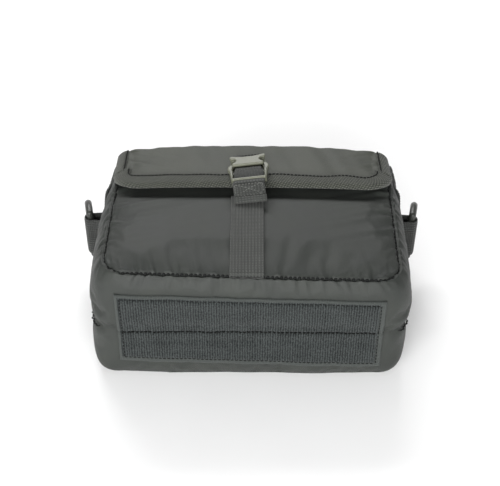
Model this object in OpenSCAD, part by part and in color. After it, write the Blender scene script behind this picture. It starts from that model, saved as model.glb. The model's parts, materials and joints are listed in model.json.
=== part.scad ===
// Padded camera bag with a fold-over flap, a webbing strap and a side-release buckle.
// The bag lies on its back: +X is its width, +Y points to its mouth, +Z out of its front.
// The origin is at the middle of the surface that it rests on. Millimetres.

/* [Body] */
// Width of the front panel between its side seams
body_w = 222; // [180:1:260]
// Height of the bag from its bottom seam to its mouth
body_h = 150; // [140:1:190]
// Depth of the bag from its back to its front panel
body_d = 105; // [90:1:130]
// How far each padded side stands out past the seams
side_bulge = 15; // [6:0.5:20]
// How far the padded bottom stands out past the seams
bottom_bulge = 6; // [3:0.5:12]
// Radius of the two bottom corners of the front panel
corner_r = 18; // [12:1:30]
// Thickness of the nylon shell with its quilting layer
shell_t = 2; // [1:0.5:3]
// Thickness of the shell and the foam together
wall_t = 8; // [6:0.5:10]
// Thickness of the loop lining
lining_t = 1.5; // [1:0.25:2]

/* [Flap] */
// Width of the flap without its binding
flap_w = 229; // [190:1:265]
// How far the flap reaches down over the front panel
flap_reach = 62; // [45:1:75]
// Thickness of the padded flap
flap_t = 5; // [4:0.5:7]
// Radius of the two free corners of the flap
flap_corner_r = 24; // [12:1:34]
// How much the free edge stands higher than the fold
flap_rise = 4.4; // [2:0.2:7]
// Width of the binding tape as it lies on the flap
binding_w = 11; // [6:0.5:14]

/* [Webbing and buckle] */
// Width of the front strap's webbing
web_w = 25; // [20:1:30]
// Thickness of the webbing
web_t = 1.8; // [1.2:0.1:2.2]
// Sideways place of the strap
strap_x = -2; // [-6:0.5:6]
// Angle of the buckle about the panel's normal, in degrees
buckle_turn = 3; // [-10:1:10]
// Angle by which the buckle's right side stands up from the flap, in degrees
buckle_roll = 6; // [0:1:10]
// How far the plug is drawn out of the socket in this view of the model
plug_out = 0; // [0:1:25]

/* [Loop panel] */
// Width of the loop panel on the bottom
loop_w = 207; // [160:1:214]
// Height of the loop panel on the bottom
loop_h = 70; // [50:1:74]

/* [Rings] */
// Width of the webbing that holds each ring
tab_w = 38; // [30:1:42]
// Radius of the ring's wire
ring_wire_r = 3; // [2:0.25:3.25]
// How far each ring's bar stands out past the padded side
ring_out = 10; // [9.5:0.5:14]
// Angle by which each ring leans out from the bag, in degrees
ring_lean = 12; // [4:1:16]

/* [Dividers] */
// Distance of each divider from the middle of the bag
divider_x = 37; // [28:1:50]
// Thickness of each padded divider
divider_t = 8; // [6:1:10]

/* [Hidden] */

big = 400;
half_w = body_w / 2;
half_h = body_h / 2;
mid_z = body_d / 2;
fit_gap = 0.3;

shell_color = [0.35, 0.37, 0.35];
lining_color = [0.22, 0.23, 0.23];
foam_color = [0.75, 0.75, 0.72];
tape_color = [0.28, 0.30, 0.28];
loop_color = [0.30, 0.33, 0.32];
buckle_color = [0.52, 0.53, 0.48];

cavity_half_w = half_w + 1;
cavity_y = -half_h + 2;
cavity_z0 = wall_t;
cavity_z1 = body_d - wall_t;
level_steps = 14;
arc_steps = 6;
mouth_share = 0.5;
taper_y = 15;

mouth_binding_t = 1;
board_t = 2;
board_gap = 4;
loop_t = 1.8;
loop_z0 = 14;
patch_t = 1.2;
patch_y0 = 40;
patch_z_gap = 14;

tab_y = 30;
tab_strip_low = 2;
ring_leg = 5;
ring_r = tab_w / 2 + ring_wire_r + 1;
ring_x = half_w + side_bulge + ring_out;

hinge_y = half_h + 1.2;
hinge_z = 5.4;
flap_y0 = half_h + 1.4;
flap_z1 = body_d + 1.4;
flap_skin_t = 1.6;
flap_lining_t = 1;
binding_t = 0.8;
fold_y = flap_y0 + flap_t - 1;
fold_z = flap_z1 + 0.3;
flap_base_z = fold_z + 0.5;
flap_edge_y = half_h - flap_reach;

strap_gap = 0.4;
strap_z = body_d + strap_gap;
strap_end_y = 6;

mouth_y = 30;
buckle_slope = atan(flap_rise / (fold_y - flap_edge_y));
buckle_half_w = 15;
buckle_base = 0.4;
buckle_top = 7.9;
sleeve_l = 11.4;
socket_bar_y = 14.6;
socket_bar_r = 1.5;
socket_wall = 1.5;
chape_l = 26;
plug_l = 15.4;
plug_base = 1.2;
plug_top = 7.4;
prong_root_x = 10;
prong_head_x = 17.2;
tail_low = 1.5;
tail_turn_y = -22.6;
tail_end_y = -29.2;

// ---- the padded body ----

// share of the full bulge at a height z, from 0 at the seams to 1 in the middle
function swell(z) = sqrt(max(0, 1 - pow(abs(2 * z / body_d - 1), 4)));

// points of an arc from one angle to another
function arc(cx, cy, r, from, to) =
    [for (i = [0:arc_steps]) let (a = from + (to - from) * i / arc_steps)
        [cx + r * cos(a), cy + r * sin(a)]];

// the bag's outline as seen from its front, grown by side and low
function outline(side, low) =
    let (x = half_w + side, y = -half_h - low, r = corner_r)
    concat(
        arc(-x + r, y + r, r, 180, 270),
        arc(x - r, y + r, r, 270, 360),
        [[x, taper_y], [half_w + side * mouth_share, half_h]],
        [[-half_w - side * mouth_share, half_h], [-x, taper_y]]
    );

// the whole padded block, with its sides and bottom drawn in by inset
module block(inset = 0) {
    hull()
        for (i = [0:level_steps]) {
            z = mid_z - mid_z * cos(180 * i / level_steps);
            translate([0, 0, min(z, body_d - 0.01)])
                linear_extrude(0.01)
                    polygon(outline(
                        side_bulge * swell(z) - inset,
                        bottom_bulge * swell(z) - inset
                    ));
        }
}

// box between two opposite corners
module span(a, b) {
    translate(a)
        cube(b - a);
}

module right_and_left(side) {
    if (side > 0)
        children();
    else
        mirror([1, 0, 0])
            children();
}

module front_panel() {
    color(shell_color)
        intersection() {
            block();
            span([-big, -big, body_d - shell_t], [big, big, body_d]);
        }
}

module back_panel() {
    color(shell_color)
        intersection() {
            block();
            span([-big, -big, 0], [big, big, shell_t]);
        }
}

// the nylon of the gusset between the front and the back panel
module gusset_skin(from, to) {
    color(shell_color)
        intersection() {
            difference() {
                block();
                block(shell_t);
            }
            span(from, to);
        }
}

module gusset_bottom() {
    gusset_skin([-big, -big, shell_t], [big, cavity_y, body_d - shell_t]);
}

module gusset_side(side) {
    right_and_left(side)
        gusset_skin([half_w - 1, cavity_y, shell_t], [big, big, body_d - shell_t]);
}

module foam(from, to) {
    color(foam_color)
        intersection() {
            block(shell_t);
            span(from, to);
        }
}

module foam_front() {
    foam([-big, -big, cavity_z1], [big, big, body_d - shell_t]);
}

module foam_back() {
    foam([-big, -big, shell_t], [big, big, cavity_z0]);
}

module foam_side(side) {
    right_and_left(side)
        foam([cavity_half_w, cavity_y, cavity_z0], [big, big, cavity_z1]);
}

module board_shape() {
    span(
        [-half_w + board_gap, cavity_y - board_t, cavity_z0 + board_gap],
        [half_w - board_gap, cavity_y, cavity_z1 - board_gap]
    );
}

module foam_bottom() {
    difference() {
        foam([-big, -big, cavity_z0], [big, cavity_y, cavity_z1]);
        board_shape();
    }
}

module bottom_board() {
    color(lining_color)
        board_shape();
}

module lining(from, to) {
    color(lining_color)
        span(from, to);
}

module lining_front() {
    lining(
        [-cavity_half_w, cavity_y, cavity_z1 - lining_t],
        [cavity_half_w, half_h, cavity_z1]
    );
}

module lining_back() {
    lining(
        [-cavity_half_w, cavity_y, cavity_z0],
        [cavity_half_w, half_h, cavity_z0 + lining_t]
    );
}

module lining_bottom() {
    lining(
        [-cavity_half_w, cavity_y, cavity_z0 + lining_t],
        [cavity_half_w, cavity_y + lining_t, cavity_z1 - lining_t]
    );
}

module lining_side(side) {
    right_and_left(side)
        lining(
            [cavity_half_w - lining_t, cavity_y + lining_t, cavity_z0 + lining_t],
            [cavity_half_w, half_h, cavity_z1 - lining_t]
        );
}

// tape sewn round the rim of the mouth
module mouth_binding() {
    color(tape_color)
        translate([0, half_h + mouth_binding_t, 0])
            rotate([90, 0, 0])
                linear_extrude(mouth_binding_t)
                    difference() {
                        polygon(concat(
                            [for (i = [0:level_steps]) mouth_point(i, 1)],
                            [for (i = [level_steps:-1:0]) mouth_point(i, -1)]
                        ));
                        translate([-cavity_half_w + lining_t, cavity_z0 + lining_t])
                            square([
                                2 * (cavity_half_w - lining_t),
                                cavity_z1 - cavity_z0 - 2 * lining_t
                            ]);
                    }
}

function mouth_point(i, side) =
    let (z = mid_z - mid_z * cos(180 * i / level_steps))
    [side * (half_w + side_bulge * mouth_share * swell(z)), z];

// loop half of a hook-and-loop fastener, sewn over the seam along the bottom
module loop_panel() {
    y = -half_h - bottom_bulge - loop_t;
    color(loop_color)
        difference() {
            span([-loop_w / 2, y, loop_z0], [loop_w / 2, y + 8, loop_z0 + loop_h]);
            block();
        }
}

// webbing that reinforces the side under the flap
module side_patch(side) {
    color(tape_color)
        right_and_left(side)
            intersection() {
                difference() {
                    block(-patch_t);
                    block();
                }
                span(
                    [half_w, patch_y0, patch_z_gap],
                    [big, half_h, body_d - patch_z_gap]
                );
            }
}

// ---- rings and what holds them ----

// webbing folded round a bar: the bar is at the origin, the folded ends reach to -x
module web_loop(width, bar_r, reach, end_t) {
    difference() {
        linear_extrude(width, center = true)
            hull() {
                circle(r = bar_r + web_t, $fn = 32);
                translate([-reach, -end_t / 2])
                    square([1, end_t]);
            }
        cylinder(r = bar_r, h = width + 2, center = true, $fn = 32);
    }
}

module ring_tab(side) {
    color(tape_color)
        right_and_left(side)
            union() {
                difference() {
                    translate([ring_x, tab_y, mid_z])
                        web_loop(tab_w, ring_wire_r + fit_gap, ring_out + 4, 2 * web_t);
                    block();
                }
                intersection() {
                    difference() {
                        block(-web_t);
                        block();
                    }
                    span(
                        [half_w, tab_strip_low, mid_z - tab_w / 2],
                        [big, patch_y0 - fit_gap, mid_z + tab_w / 2]
                    );
                }
            }
}

// D-ring: a straight bar inside the tab, two short legs and a half circle
module ring(side) {
    color([0.16, 0.17, 0.17])
        right_and_left(side)
            translate([ring_x, tab_y, mid_z])
                rotate([0, 0, -ring_lean])
                    union() {
                        cylinder(r = ring_wire_r, h = 2 * ring_r, center = true, $fn = 32);
                        for (end = [-1, 1])
                            translate([0, 0, end * ring_r]) {
                                sphere(r = ring_wire_r, $fn = 32);
                                rotate([-90, 0, 0])
                                    cylinder(r = ring_wire_r, h = ring_leg, $fn = 32);
                            }
                        translate([0, ring_leg, 0])
                            rotate([0, 90, 0])
                                rotate_extrude(angle = 180, $fn = 64)
                                    translate([ring_r, 0])
                                        circle(r = ring_wire_r, $fn = 24);
                    }
}

// ---- dividers ----

divider_z0 = cavity_z0 + lining_t + fit_gap;
divider_z1 = cavity_z1 - lining_t - fit_gap;
divider_top_y = half_h - 14;
divider_low_y = cavity_y + lining_t + fit_gap;
tape_t = 1.2;
tape_w = 25;
tape_l = 20;

module divider(side) {
    color(lining_color)
        span(
            [side * divider_x - divider_t / 2, divider_low_y, divider_z0],
            [side * divider_x + divider_t / 2, divider_top_y, divider_z1]
        );
}

// hook tapes that hold a divider to the loop lining, two at each end
module divider_tapes(side) {
    color(tape_color)
        for (y = [-30, 30], z = [divider_z0, divider_z1 - tape_t], way = [-1, 1])
            translate([
                side * divider_x + way * (divider_t + tape_l) / 2,
                y,
                z + tape_t / 2
            ])
                cube([tape_l, tape_w, tape_t], center = true);
}

// ---- flap ----

module flap_top_layer(from, to, inset) {
    span(
        [-flap_w / 2 + inset, flap_y0 + from, hinge_z + 0.5],
        [flap_w / 2 - inset, flap_y0 + to, flap_z1]
    );
}

module flap_top_panel() {
    color(shell_color)
        flap_top_layer(flap_t - flap_skin_t, flap_t, 0);
}

module flap_top_foam() {
    color(foam_color)
        flap_top_layer(flap_lining_t, flap_t - flap_skin_t, 2);
}

module flap_top_lining() {
    color(lining_color)
        flap_top_layer(0, flap_lining_t, 0);
}

module flap_top_binding() {
    color(tape_color)
        for (side = [-1, 1])
            right_and_left(side)
                span(
                    [flap_w / 2, flap_y0, hinge_z + 0.5],
                    [flap_w / 2 + binding_t, flap_y0 + flap_t, flap_z1]
                );
}

// lower face of the flap's front part at a place y
function flap_low(y) = flap_base_z + flap_rise * (fold_y - y) / (fold_y - flap_edge_y);

// outline of the flap's front part, grown by grow
function flap_outline(grow) =
    let (x = flap_w / 2 + grow, y = flap_edge_y - grow, r = flap_corner_r + grow)
    concat(
        arc(-x + r, y + r, r, 180, 270),
        arc(x - r, y + r, r, 270, 360),
        [[x, fold_y], [-x, fold_y]]
    );

// one layer of the flap's front part, between two heights over its lower face
module flap_layer(from, to, grow = 0) {
    low_y = flap_edge_y - 10;
    intersection() {
        translate([0, 0, body_d - 10])
            linear_extrude(40)
                polygon(flap_outline(grow));
        rotate([90, 0, 90])
            linear_extrude(big, center = true)
                polygon([
                    [low_y, flap_low(low_y) + from],
                    [fold_y, flap_low(fold_y) + from],
                    [fold_y, flap_low(fold_y) + to],
                    [low_y, flap_low(low_y) + to]
                ]);
    }
}

module flap_front_panel() {
    color(shell_color)
        flap_layer(flap_t - flap_skin_t, flap_t);
}

module flap_front_foam() {
    color(foam_color)
        flap_layer(flap_lining_t, flap_t - flap_skin_t, -2);
}

module flap_front_lining() {
    color(lining_color)
        flap_layer(0, flap_lining_t);
}

// tape folded over the flap's edge, before it is cut into front and sides
module flap_tape() {
    difference() {
        flap_layer(-fit_gap, flap_t + binding_t, binding_t);
        flap_layer(0, flap_t);
        flap_layer(-5, flap_t + 5, -binding_w);
    }
}

module flap_front_binding() {
    color(tape_color)
        intersection() {
            flap_tape();
            span([-big, -big, 0], [big, flap_edge_y + flap_corner_r, big]);
        }
}

module flap_side_binding() {
    color(tape_color)
        intersection() {
            flap_tape();
            span([-big, flap_edge_y + flap_corner_r, 0], [big, fold_y, big]);
        }
}

// ---- buckle ----

// the buckle's own frame: +y points into the socket, z = 0 is the top of the flap
module at_buckle() {
    lift = buckle_half_w * sin(buckle_roll);
    translate([strap_x, mouth_y, flap_low(mouth_y) + flap_t + binding_t + lift])
        rotate([0, 0, buckle_turn])
            rotate([-buckle_slope, -buckle_roll, 0])
                children();
}

module buckle_chape() {
    color(tape_color)
        at_buckle()
            difference() {
                translate([0, socket_bar_y, buckle_base + socket_bar_r + web_t])
                    rotate([0, 90, 0])
                        rotate([0, 0, -90])
                            web_loop(web_w - 1, socket_bar_r, chape_l - socket_bar_y, 2 * web_t);
                span([-big, 0, -20], [big, big, 0]);
            }
}

module buckle_socket() {
    inner_w = buckle_half_w - socket_wall;
    color(buckle_color)
        at_buckle()
            union() {
                difference() {
                    span(
                        [-buckle_half_w, 0, buckle_base],
                        [buckle_half_w, socket_bar_y + 2, buckle_top]
                    );
                    span(
                        [-inner_w, -1, buckle_base + socket_wall],
                        [inner_w, sleeve_l, buckle_top - socket_wall]
                    );
                    span(
                        [-big, 3, buckle_base + socket_wall],
                        [big, sleeve_l - 2, buckle_top - socket_wall]
                    );
                    span(
                        [-web_w / 2, sleeve_l - 0.4, -1],
                        [web_w / 2, big, buckle_top + 1]
                    );
                    translate([0, socket_bar_y + 4, buckle_top + 6])
                        rotate([0, 90, 0])
                            cylinder(r = 8, h = big, center = true, $fn = 48);
                }
                translate([0, socket_bar_y, buckle_base + socket_bar_r + web_t])
                    rotate([0, 90, 0])
                        cylinder(r = socket_bar_r, h = web_w + 1, center = true, $fn = 32);
            }
}

// frame of the plug, with the bar that the webbing is threaded round
module buckle_plug() {
    color(buckle_color)
        at_buckle()
            translate([0, -plug_out, 0])
                difference() {
                    span(
                        [-buckle_half_w, -plug_l, plug_base],
                        [buckle_half_w, -0.5, plug_top]
                    );
                    span(
                        [-web_w / 2 - 0.2, -plug_l + 2.6, -1],
                        [web_w / 2 + 0.2, -4, plug_top + 1]
                    );
                    span(
                        [-web_w / 2 - 0.2, -big, -1],
                        [web_w / 2 + 0.2, -plug_l + 3, plug_base + 3.2]
                    );
                }
}

// springy side arm of the plug, with the head that catches in the socket's window
module plug_prong(side) {
    z0 = buckle_base + socket_wall + fit_gap;
    z1 = buckle_top - socket_wall - fit_gap;
    inner_x = buckle_half_w - socket_wall - fit_gap;
    color(buckle_color)
        at_buckle()
            translate([0, -plug_out, z0])
                right_and_left(side)
                    linear_extrude(z1 - z0)
                        polygon([
                            [prong_root_x, -0.5],
                            [inner_x, -0.5],
                            [inner_x, 3 + fit_gap],
                            [prong_head_x, 3 + fit_gap + 1],
                            [prong_head_x - 0.4, 6.5],
                            [inner_x, sleeve_l - 2 - fit_gap],
                            [inner_x - 2, sleeve_l - 1],
                            [prong_root_x, sleeve_l - 2]
                        ]);
}

// ---- strap ----

module front_strap() {
    color(tape_color)
        span(
            [strap_x - web_w / 2, -half_h + 0.5, strap_z],
            [strap_x + web_w / 2, strap_end_y, strap_z + web_t]
        );
}

// doubled webbing that is threaded through the plug and lies on the strap
module strap_tail() {
    tail_t = 2.6;
    drop = 9.4;
    color(tape_color)
        at_buckle()
            translate([0, -plug_out, 0])
                rotate([90, 0, 90])
                    linear_extrude(web_w - 0.6, center = true)
                        polygon([
                            [-4.4, tail_low],
                            [-4.4, tail_low + tail_t],
                            [tail_turn_y - 1, tail_low + tail_t],
                            [tail_end_y - 0.6, tail_low + tail_t - drop],
                            [tail_end_y - 0.6, tail_low - drop],
                            [tail_end_y + 1.4, tail_low - drop],
                            [tail_turn_y, tail_low]
                        ]);
}

front_panel();
back_panel();
gusset_bottom();
gusset_side(-1);  // gusset_left
gusset_side(1);  // gusset_right
foam_front();
foam_back();
foam_bottom();
foam_side(-1);  // foam_left
foam_side(1);  // foam_right
bottom_board();
lining_front();
lining_back();
lining_bottom();
lining_side(-1);  // lining_left
lining_side(1);  // lining_right
mouth_binding();
loop_panel();
side_patch(-1);  // side_patch_left
side_patch(1);  // side_patch_right
ring_tab(-1);  // ring_tab_left
ring_tab(1);  // ring_tab_right
ring(-1);  // ring_left
ring(1);  // ring_right
divider(-1);  // divider_left
divider(1);  // divider_right
divider_tapes(-1);  // divider_left_tapes
divider_tapes(1);  // divider_right_tapes
flap_top_panel();
flap_top_foam();
flap_top_lining();
flap_top_binding();
flap_front_panel();
flap_front_foam();
flap_front_lining();
flap_front_binding();
flap_side_binding();
buckle_chape();
buckle_socket();
front_strap();
strap_tail();
buckle_plug();
plug_prong(-1);  // plug_prong_left
plug_prong(1);  // plug_prong_right
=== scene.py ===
import json
import math

import bpy
import numpy as np
from mathutils import Matrix, Vector


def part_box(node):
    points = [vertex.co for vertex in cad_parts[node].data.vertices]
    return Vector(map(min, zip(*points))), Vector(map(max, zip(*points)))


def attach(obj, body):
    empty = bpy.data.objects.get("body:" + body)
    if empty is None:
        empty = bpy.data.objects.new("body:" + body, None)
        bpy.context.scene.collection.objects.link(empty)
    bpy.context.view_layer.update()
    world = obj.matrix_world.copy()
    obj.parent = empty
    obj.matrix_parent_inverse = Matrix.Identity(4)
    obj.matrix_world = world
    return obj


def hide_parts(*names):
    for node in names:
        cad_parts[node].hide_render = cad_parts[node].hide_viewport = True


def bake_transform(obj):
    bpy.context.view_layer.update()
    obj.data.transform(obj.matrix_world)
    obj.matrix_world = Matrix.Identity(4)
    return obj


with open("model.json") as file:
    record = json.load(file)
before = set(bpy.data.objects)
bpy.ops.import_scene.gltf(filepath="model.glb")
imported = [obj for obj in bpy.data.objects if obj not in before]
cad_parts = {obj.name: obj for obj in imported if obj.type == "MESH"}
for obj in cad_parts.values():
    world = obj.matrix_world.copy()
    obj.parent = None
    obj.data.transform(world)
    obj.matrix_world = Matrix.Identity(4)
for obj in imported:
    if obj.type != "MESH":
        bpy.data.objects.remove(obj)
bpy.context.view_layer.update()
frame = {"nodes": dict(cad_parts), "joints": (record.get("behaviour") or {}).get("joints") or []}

# ---- The table, the light and the view --------------------------------------------------
# The bag lies on its back on a plain pale table, in the even light of a product studio:
# one large lamp over its left shoulder, a weaker one on the right, and white all round.

MM = 0.001
scene = bpy.context.scene
scene.view_settings.view_transform = "Standard"
scene.view_settings.look = "None"


class Wire:
    """The output of a shader node, so that shader values can be written as sums."""

    def __init__(self, look, socket):
        self.look = look
        self.socket = socket

    def step(self, operation, first, second=0.0):
        settings = {"operation": operation}
        return self.look.node("ShaderNodeMath", settings, {0: first, 1: second})

    def __add__(self, other):
        return self.step("ADD", self, other)

    def __sub__(self, other):
        return self.step("SUBTRACT", self, other)

    def __rsub__(self, other):
        return self.step("SUBTRACT", other, self)

    def __mul__(self, other):
        return self.step("MULTIPLY", self, other)

    __radd__ = __add__
    __rmul__ = __mul__


class Look:
    """One material: its nodes are made with node(), and worn() lays them on the surface."""

    def __init__(self, name, **constants):
        self.material = bpy.data.materials.new(name)
        self.material.use_nodes = True
        self.tree = self.material.node_tree
        self.shader = self.tree.nodes["Principled BSDF"]
        for socket, value in constants.items():
            self.shader.inputs[socket.replace("_", " ")].default_value = value

    def node(self, kind, settings=None, values=None, output=0):
        made = self.tree.nodes.new(kind)
        for key, value in (settings or {}).items():
            if key == "stops":
                ramp = made.color_ramp.elements
                while len(ramp) < len(value):
                    ramp.new(0.5)
                for stop, (place, colour) in zip(ramp, value):
                    stop.position = place
                    stop.color = (*colour, 1.0)
            else:
                setattr(made, key, value)
        for key, value in (values or {}).items():
            if isinstance(value, Wire):
                self.tree.links.new(value.socket, made.inputs[key])
            else:
                made.inputs[key].default_value = value
        return Wire(self, made.outputs[output])

    def weave_place(self):
        """Millimetres across and along the cloth, from the piece's own layout."""
        return self.node("ShaderNodeUVMap", {"uv_map": "cloth"})

    def across(self, place):
        return self.node("ShaderNodeSeparateXYZ", None, {0: place}, 0)

    def along(self, place):
        return self.node("ShaderNodeSeparateXYZ", None, {0: place}, 1)

    def wave(self, distance, pitch):
        """A smooth wave from 0 to 1 with one crest in every pitch."""
        turned = distance * (2 * math.pi / pitch)
        return self.node("ShaderNodeMath", {"operation": "SINE"}, {0: turned}) * 0.5 + 0.5

    def cloud(self, place, size, detail=2.0, rough=0.5):
        """Soft noise from 0 to 1 whose patches are about size across."""
        values = {"Vector": place, "Scale": 1 / size, "Detail": detail, "Roughness": rough}
        return self.node("ShaderNodeTexNoise", None, values)

    def mix(self, share, low, high):
        """A colour between two colours."""
        blend = {"data_type": "RGBA"}
        low = low if isinstance(low, Wire) else (*low, 1.0)
        high = high if isinstance(high, Wire) else (*high, 1.0)
        return self.node("ShaderNodeMix", blend, {0: share, 6: low, 7: high}, 2)

    def worn(self, colour, roughness, height, depth):
        """Colour, roughness and a relief of that depth in millimetres."""
        self.tree.links.new(colour.socket, self.shader.inputs["Base Color"])
        self.tree.links.new(roughness.socket, self.shader.inputs["Roughness"])
        values = {"Strength": 1.0, "Distance": depth * MM, "Height": height}
        bump = self.node("ShaderNodeBump", None, values)
        self.tree.links.new(bump.socket, self.shader.inputs["Normal"])
        return self.material


def put(piece, material):
    piece.data.materials.clear()
    piece.data.materials.append(material)


def fitted(piece, material, slot, body=None, *nodes):
    """Give a piece its material and its body, and hide the nodes that it stands for. The slot is
    not used.
    """
    put(piece, material)
    if body:
        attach(piece, body)
    if nodes:
        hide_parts(*nodes)


TABLE_HALF = 6.0
table_mesh = bpy.data.meshes.new("table")
table_mesh.from_pydata(
    [(x * TABLE_HALF, y * TABLE_HALF, 0) for x, y in ((-1, -1), (1, -1), (1, 1), (-1, 1))],
    [], [(0, 1, 2, 3)])
table = bpy.data.objects.new("table", table_mesh)
scene.collection.objects.link(table)

table_look = Look("table_paint")
table_spot = table_look.node("ShaderNodeTexCoord", None, None, 3)
table_cloud = table_look.cloud(table_spot, 0.05)
put(table, table_look.worn(
    table_look.mix(table_cloud, (0.93, 0.93, 0.93), (0.96, 0.96, 0.96)),
    table_cloud * 0.1 + 0.75, table_cloud, 0.02))

ROOM_LIGHT = 0.38
scene.world = bpy.data.worlds.new("studio")
scene.world.use_nodes = True
room = scene.world.node_tree.nodes["Background"].inputs
room["Color"].default_value = (1, 1, 1, 1)
room["Strength"].default_value = ROOM_LIGHT


def lamp(name, place, size, power):
    light = bpy.data.lights.new(name, "AREA")
    light.shape = "RECTANGLE"
    light.size, light.size_y = size
    light.energy = power
    made = bpy.data.objects.new(name, light)
    made.location = place
    made.rotation_euler = (Vector((0, 0, 0.05)) - Vector(place)).to_track_quat(
        "-Z", "Y").to_euler()
    scene.collection.objects.link(made)


lamp("key", (-0.3, -1.45, 0.58), (1.7, 0.8), 38)
lamp("fill", (0.9, -0.9, 0.6), (0.6, 0.6), 2)
lamp("top", (-0.2, 1.15, 1.15), (1.2, 0.4), 19)

PITCH_DOWN = math.radians(42)
ROLL = math.radians(0.4)
LENS = 75.6
EYE = (-0.00075, -0.6438, 0.6494)
camera = bpy.data.objects.new("camera", bpy.data.cameras.new("camera"))
camera.data.sensor_width = 36
camera.data.lens = LENS
turn = Matrix.Rotation(math.pi / 2 - PITCH_DOWN, 4, "X") @ Matrix.Rotation(ROLL, 4, "Z")
camera.matrix_world = Matrix.Translation(EYE) @ turn
scene.collection.objects.link(camera)
scene.camera = camera

# ---- Front panel ------------------------------------------------------------------------
# The front of the bag is one panel of grey woven nylon over foam. It is sewn face to face
# with the gusset, so that it dives into the seam and puckers a little along the stitches.

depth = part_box("front_panel")[1].z / MM
mouth_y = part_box("front_panel")[1].y / MM
side_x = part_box("gusset_right")[1].x / MM
low_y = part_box("gusset_bottom")[0].y / MM
SIDE_BULGE = 15
BOTTOM_BULGE = 6
CORNER_R = 18
SEAM_OUT = 1.5
seam_x = side_x - SIDE_BULGE + SEAM_OUT
seam_y = low_y + BOTTOM_BULGE
SEAM_DROP = 3.4
SKIN = 1.6
CROWN = 2.4
PRESSED_IN = 3.2
LEAN = 3.0
SIDE_DRAWN_IN = 2.6
FRONT_TILT = 3.7


def piece_of(name, points, faces, layout):
    """A piece from points in millimetres, with the layout of its cloth as its UV map."""
    mesh = bpy.data.meshes.new(name)
    mesh.from_pydata((np.asarray(points, float) * MM).tolist(), [], faces)
    uv = mesh.uv_layers.new(name="cloth")
    corners = np.zeros(len(mesh.loops), int)
    mesh.loops.foreach_get("vertex_index", corners)
    uv.data.foreach_set("uv", np.asarray(layout, float)[corners].astype(np.float32).ravel())
    mesh.polygons.foreach_set("use_smooth", np.ones(len(mesh.polygons), bool))
    mesh.update()
    piece = bpy.data.objects.new(name, mesh)
    scene.collection.objects.link(piece)
    return piece


def unit(ways):
    """The same ways with a length of one."""
    return ways / (np.linalg.norm(ways, axis=-1, keepdims=True) + 1e-9)


def walked_along(path):
    """How far each point of a path is from its start."""
    return np.r_[0, np.cumsum(np.linalg.norm(np.diff(path, axis=0), axis=1))]


def flat_layout(sheet):
    """Where each point of a sheet lies on its uncut cloth, in millimetres."""
    across = walked_along(sheet[len(sheet) // 2])
    along = walked_along(sheet[:, sheet.shape[1] // 2])
    return np.stack(np.meshgrid(across, along), axis=-1)


def outward(sheet):
    """Unit normals of a sheet of points."""
    return unit(np.cross(np.gradient(sheet, axis=1), np.gradient(sheet, axis=0)))


def grid_faces(rows, columns, start=0, flipped=False):
    faces = []
    for r in range(rows - 1):
        for c in range(columns - 1):
            a = start + r * columns + c
            quad = (a, a + 1, a + columns + 1, a + columns)
            faces.append(quad[::-1] if flipped else quad)
    return faces


def pad(name, outer, inner):
    """A closed piece between two sheets that have the same rows and columns."""
    rows, columns = outer.shape[:2]
    count = rows * columns
    faces = grid_faces(rows, columns) + grid_faces(rows, columns, count, True)
    rim = [(0, c) for c in range(columns - 1)]
    rim += [(r, columns - 1) for r in range(rows - 1)]
    rim += [(rows - 1, c) for c in range(columns - 1, 0, -1)]
    rim += [(r, 0) for r in range(rows - 1, 0, -1)]
    ring = [r * columns + c for r, c in rim]
    for a, b in zip(ring, ring[1:] + ring[:1]):
        faces.append((b, a, a + count, b + count))
    points = np.concatenate([outer.reshape(-1, 3), inner.reshape(-1, 3)])
    layout = flat_layout(outer).reshape(-1, 2)
    return piece_of(name, points, faces, np.concatenate([layout, layout]))


def ripple(distance, pitch, seed):
    """Uneven small folds along a seam, about one in every pitch, from -1 to 1."""
    luck = np.random.default_rng(seed)
    total = np.zeros_like(distance)
    for share in (0.55, 0.8, 1.0, 1.35, 1.9):
        total += np.sin(2 * np.pi * distance / (pitch * share) + luck.uniform(0, 7))
    return total / 2.6


def puckers(along, from_seam, height, pitch, reach, seed):
    """Small folds that start at a seam and die away from it."""
    return height * ripple(along, pitch, seed) * np.exp(-from_seam / reach)


def hump(distance, width):
    """A smooth bump from 1 at no distance to nothing a few widths away."""
    return np.exp(-(distance / width) ** 2)


def settled(sheet, held, pressure, slack, cap, seconds=18):
    """The sheet after it has filled out as cloth, with its held points still in the seams.

    The cloth is a little larger than the space between its seams, which gives it folds.
    It is worked out at ten times its size, where the solver is steady.
    """
    rows, columns = sheet.shape[:2]
    layout = flat_layout(sheet).reshape(-1, 2)
    grown = 10
    cloth_piece = piece_of(
        "settling", sheet.reshape(-1, 3) * grown, grid_faces(rows, columns), layout)
    group = cloth_piece.vertex_groups.new(name="held")
    group.add(np.flatnonzero(held.ravel()).tolist(), 1.0, "REPLACE")
    cloth = cloth_piece.modifiers.new("cloth", "CLOTH")
    rules = cloth.settings
    rules.quality = 6
    rules.mass = 0.2
    rules.tension_stiffness = 20
    rules.compression_stiffness = 20
    rules.shear_stiffness = 8
    rules.bending_stiffness = 0.6
    rules.use_pressure = True
    rules.uniform_pressure_force = pressure
    rules.vertex_group_mass = "held"
    rules.shrink_min = -slack
    rules.effector_weights.gravity = 0
    cloth.point_cache.frame_end = seconds
    for step in range(1, seconds + 1):
        scene.frame_set(step)
    shaped = cloth_piece.evaluated_get(bpy.context.evaluated_depsgraph_get())
    found = np.zeros(rows * columns * 3, np.float32)
    shaped.data.vertices.foreach_get("co", found)
    moved = found.reshape(sheet.shape).astype(float) / (grown * MM) - sheet
    reach = np.linalg.norm(moved, axis=2, keepdims=True)
    moved *= np.minimum(1.0, cap / (reach + 1e-9))
    scene.frame_set(1)
    bpy.data.objects.remove(cloth_piece)
    return sheet + moved


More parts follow.
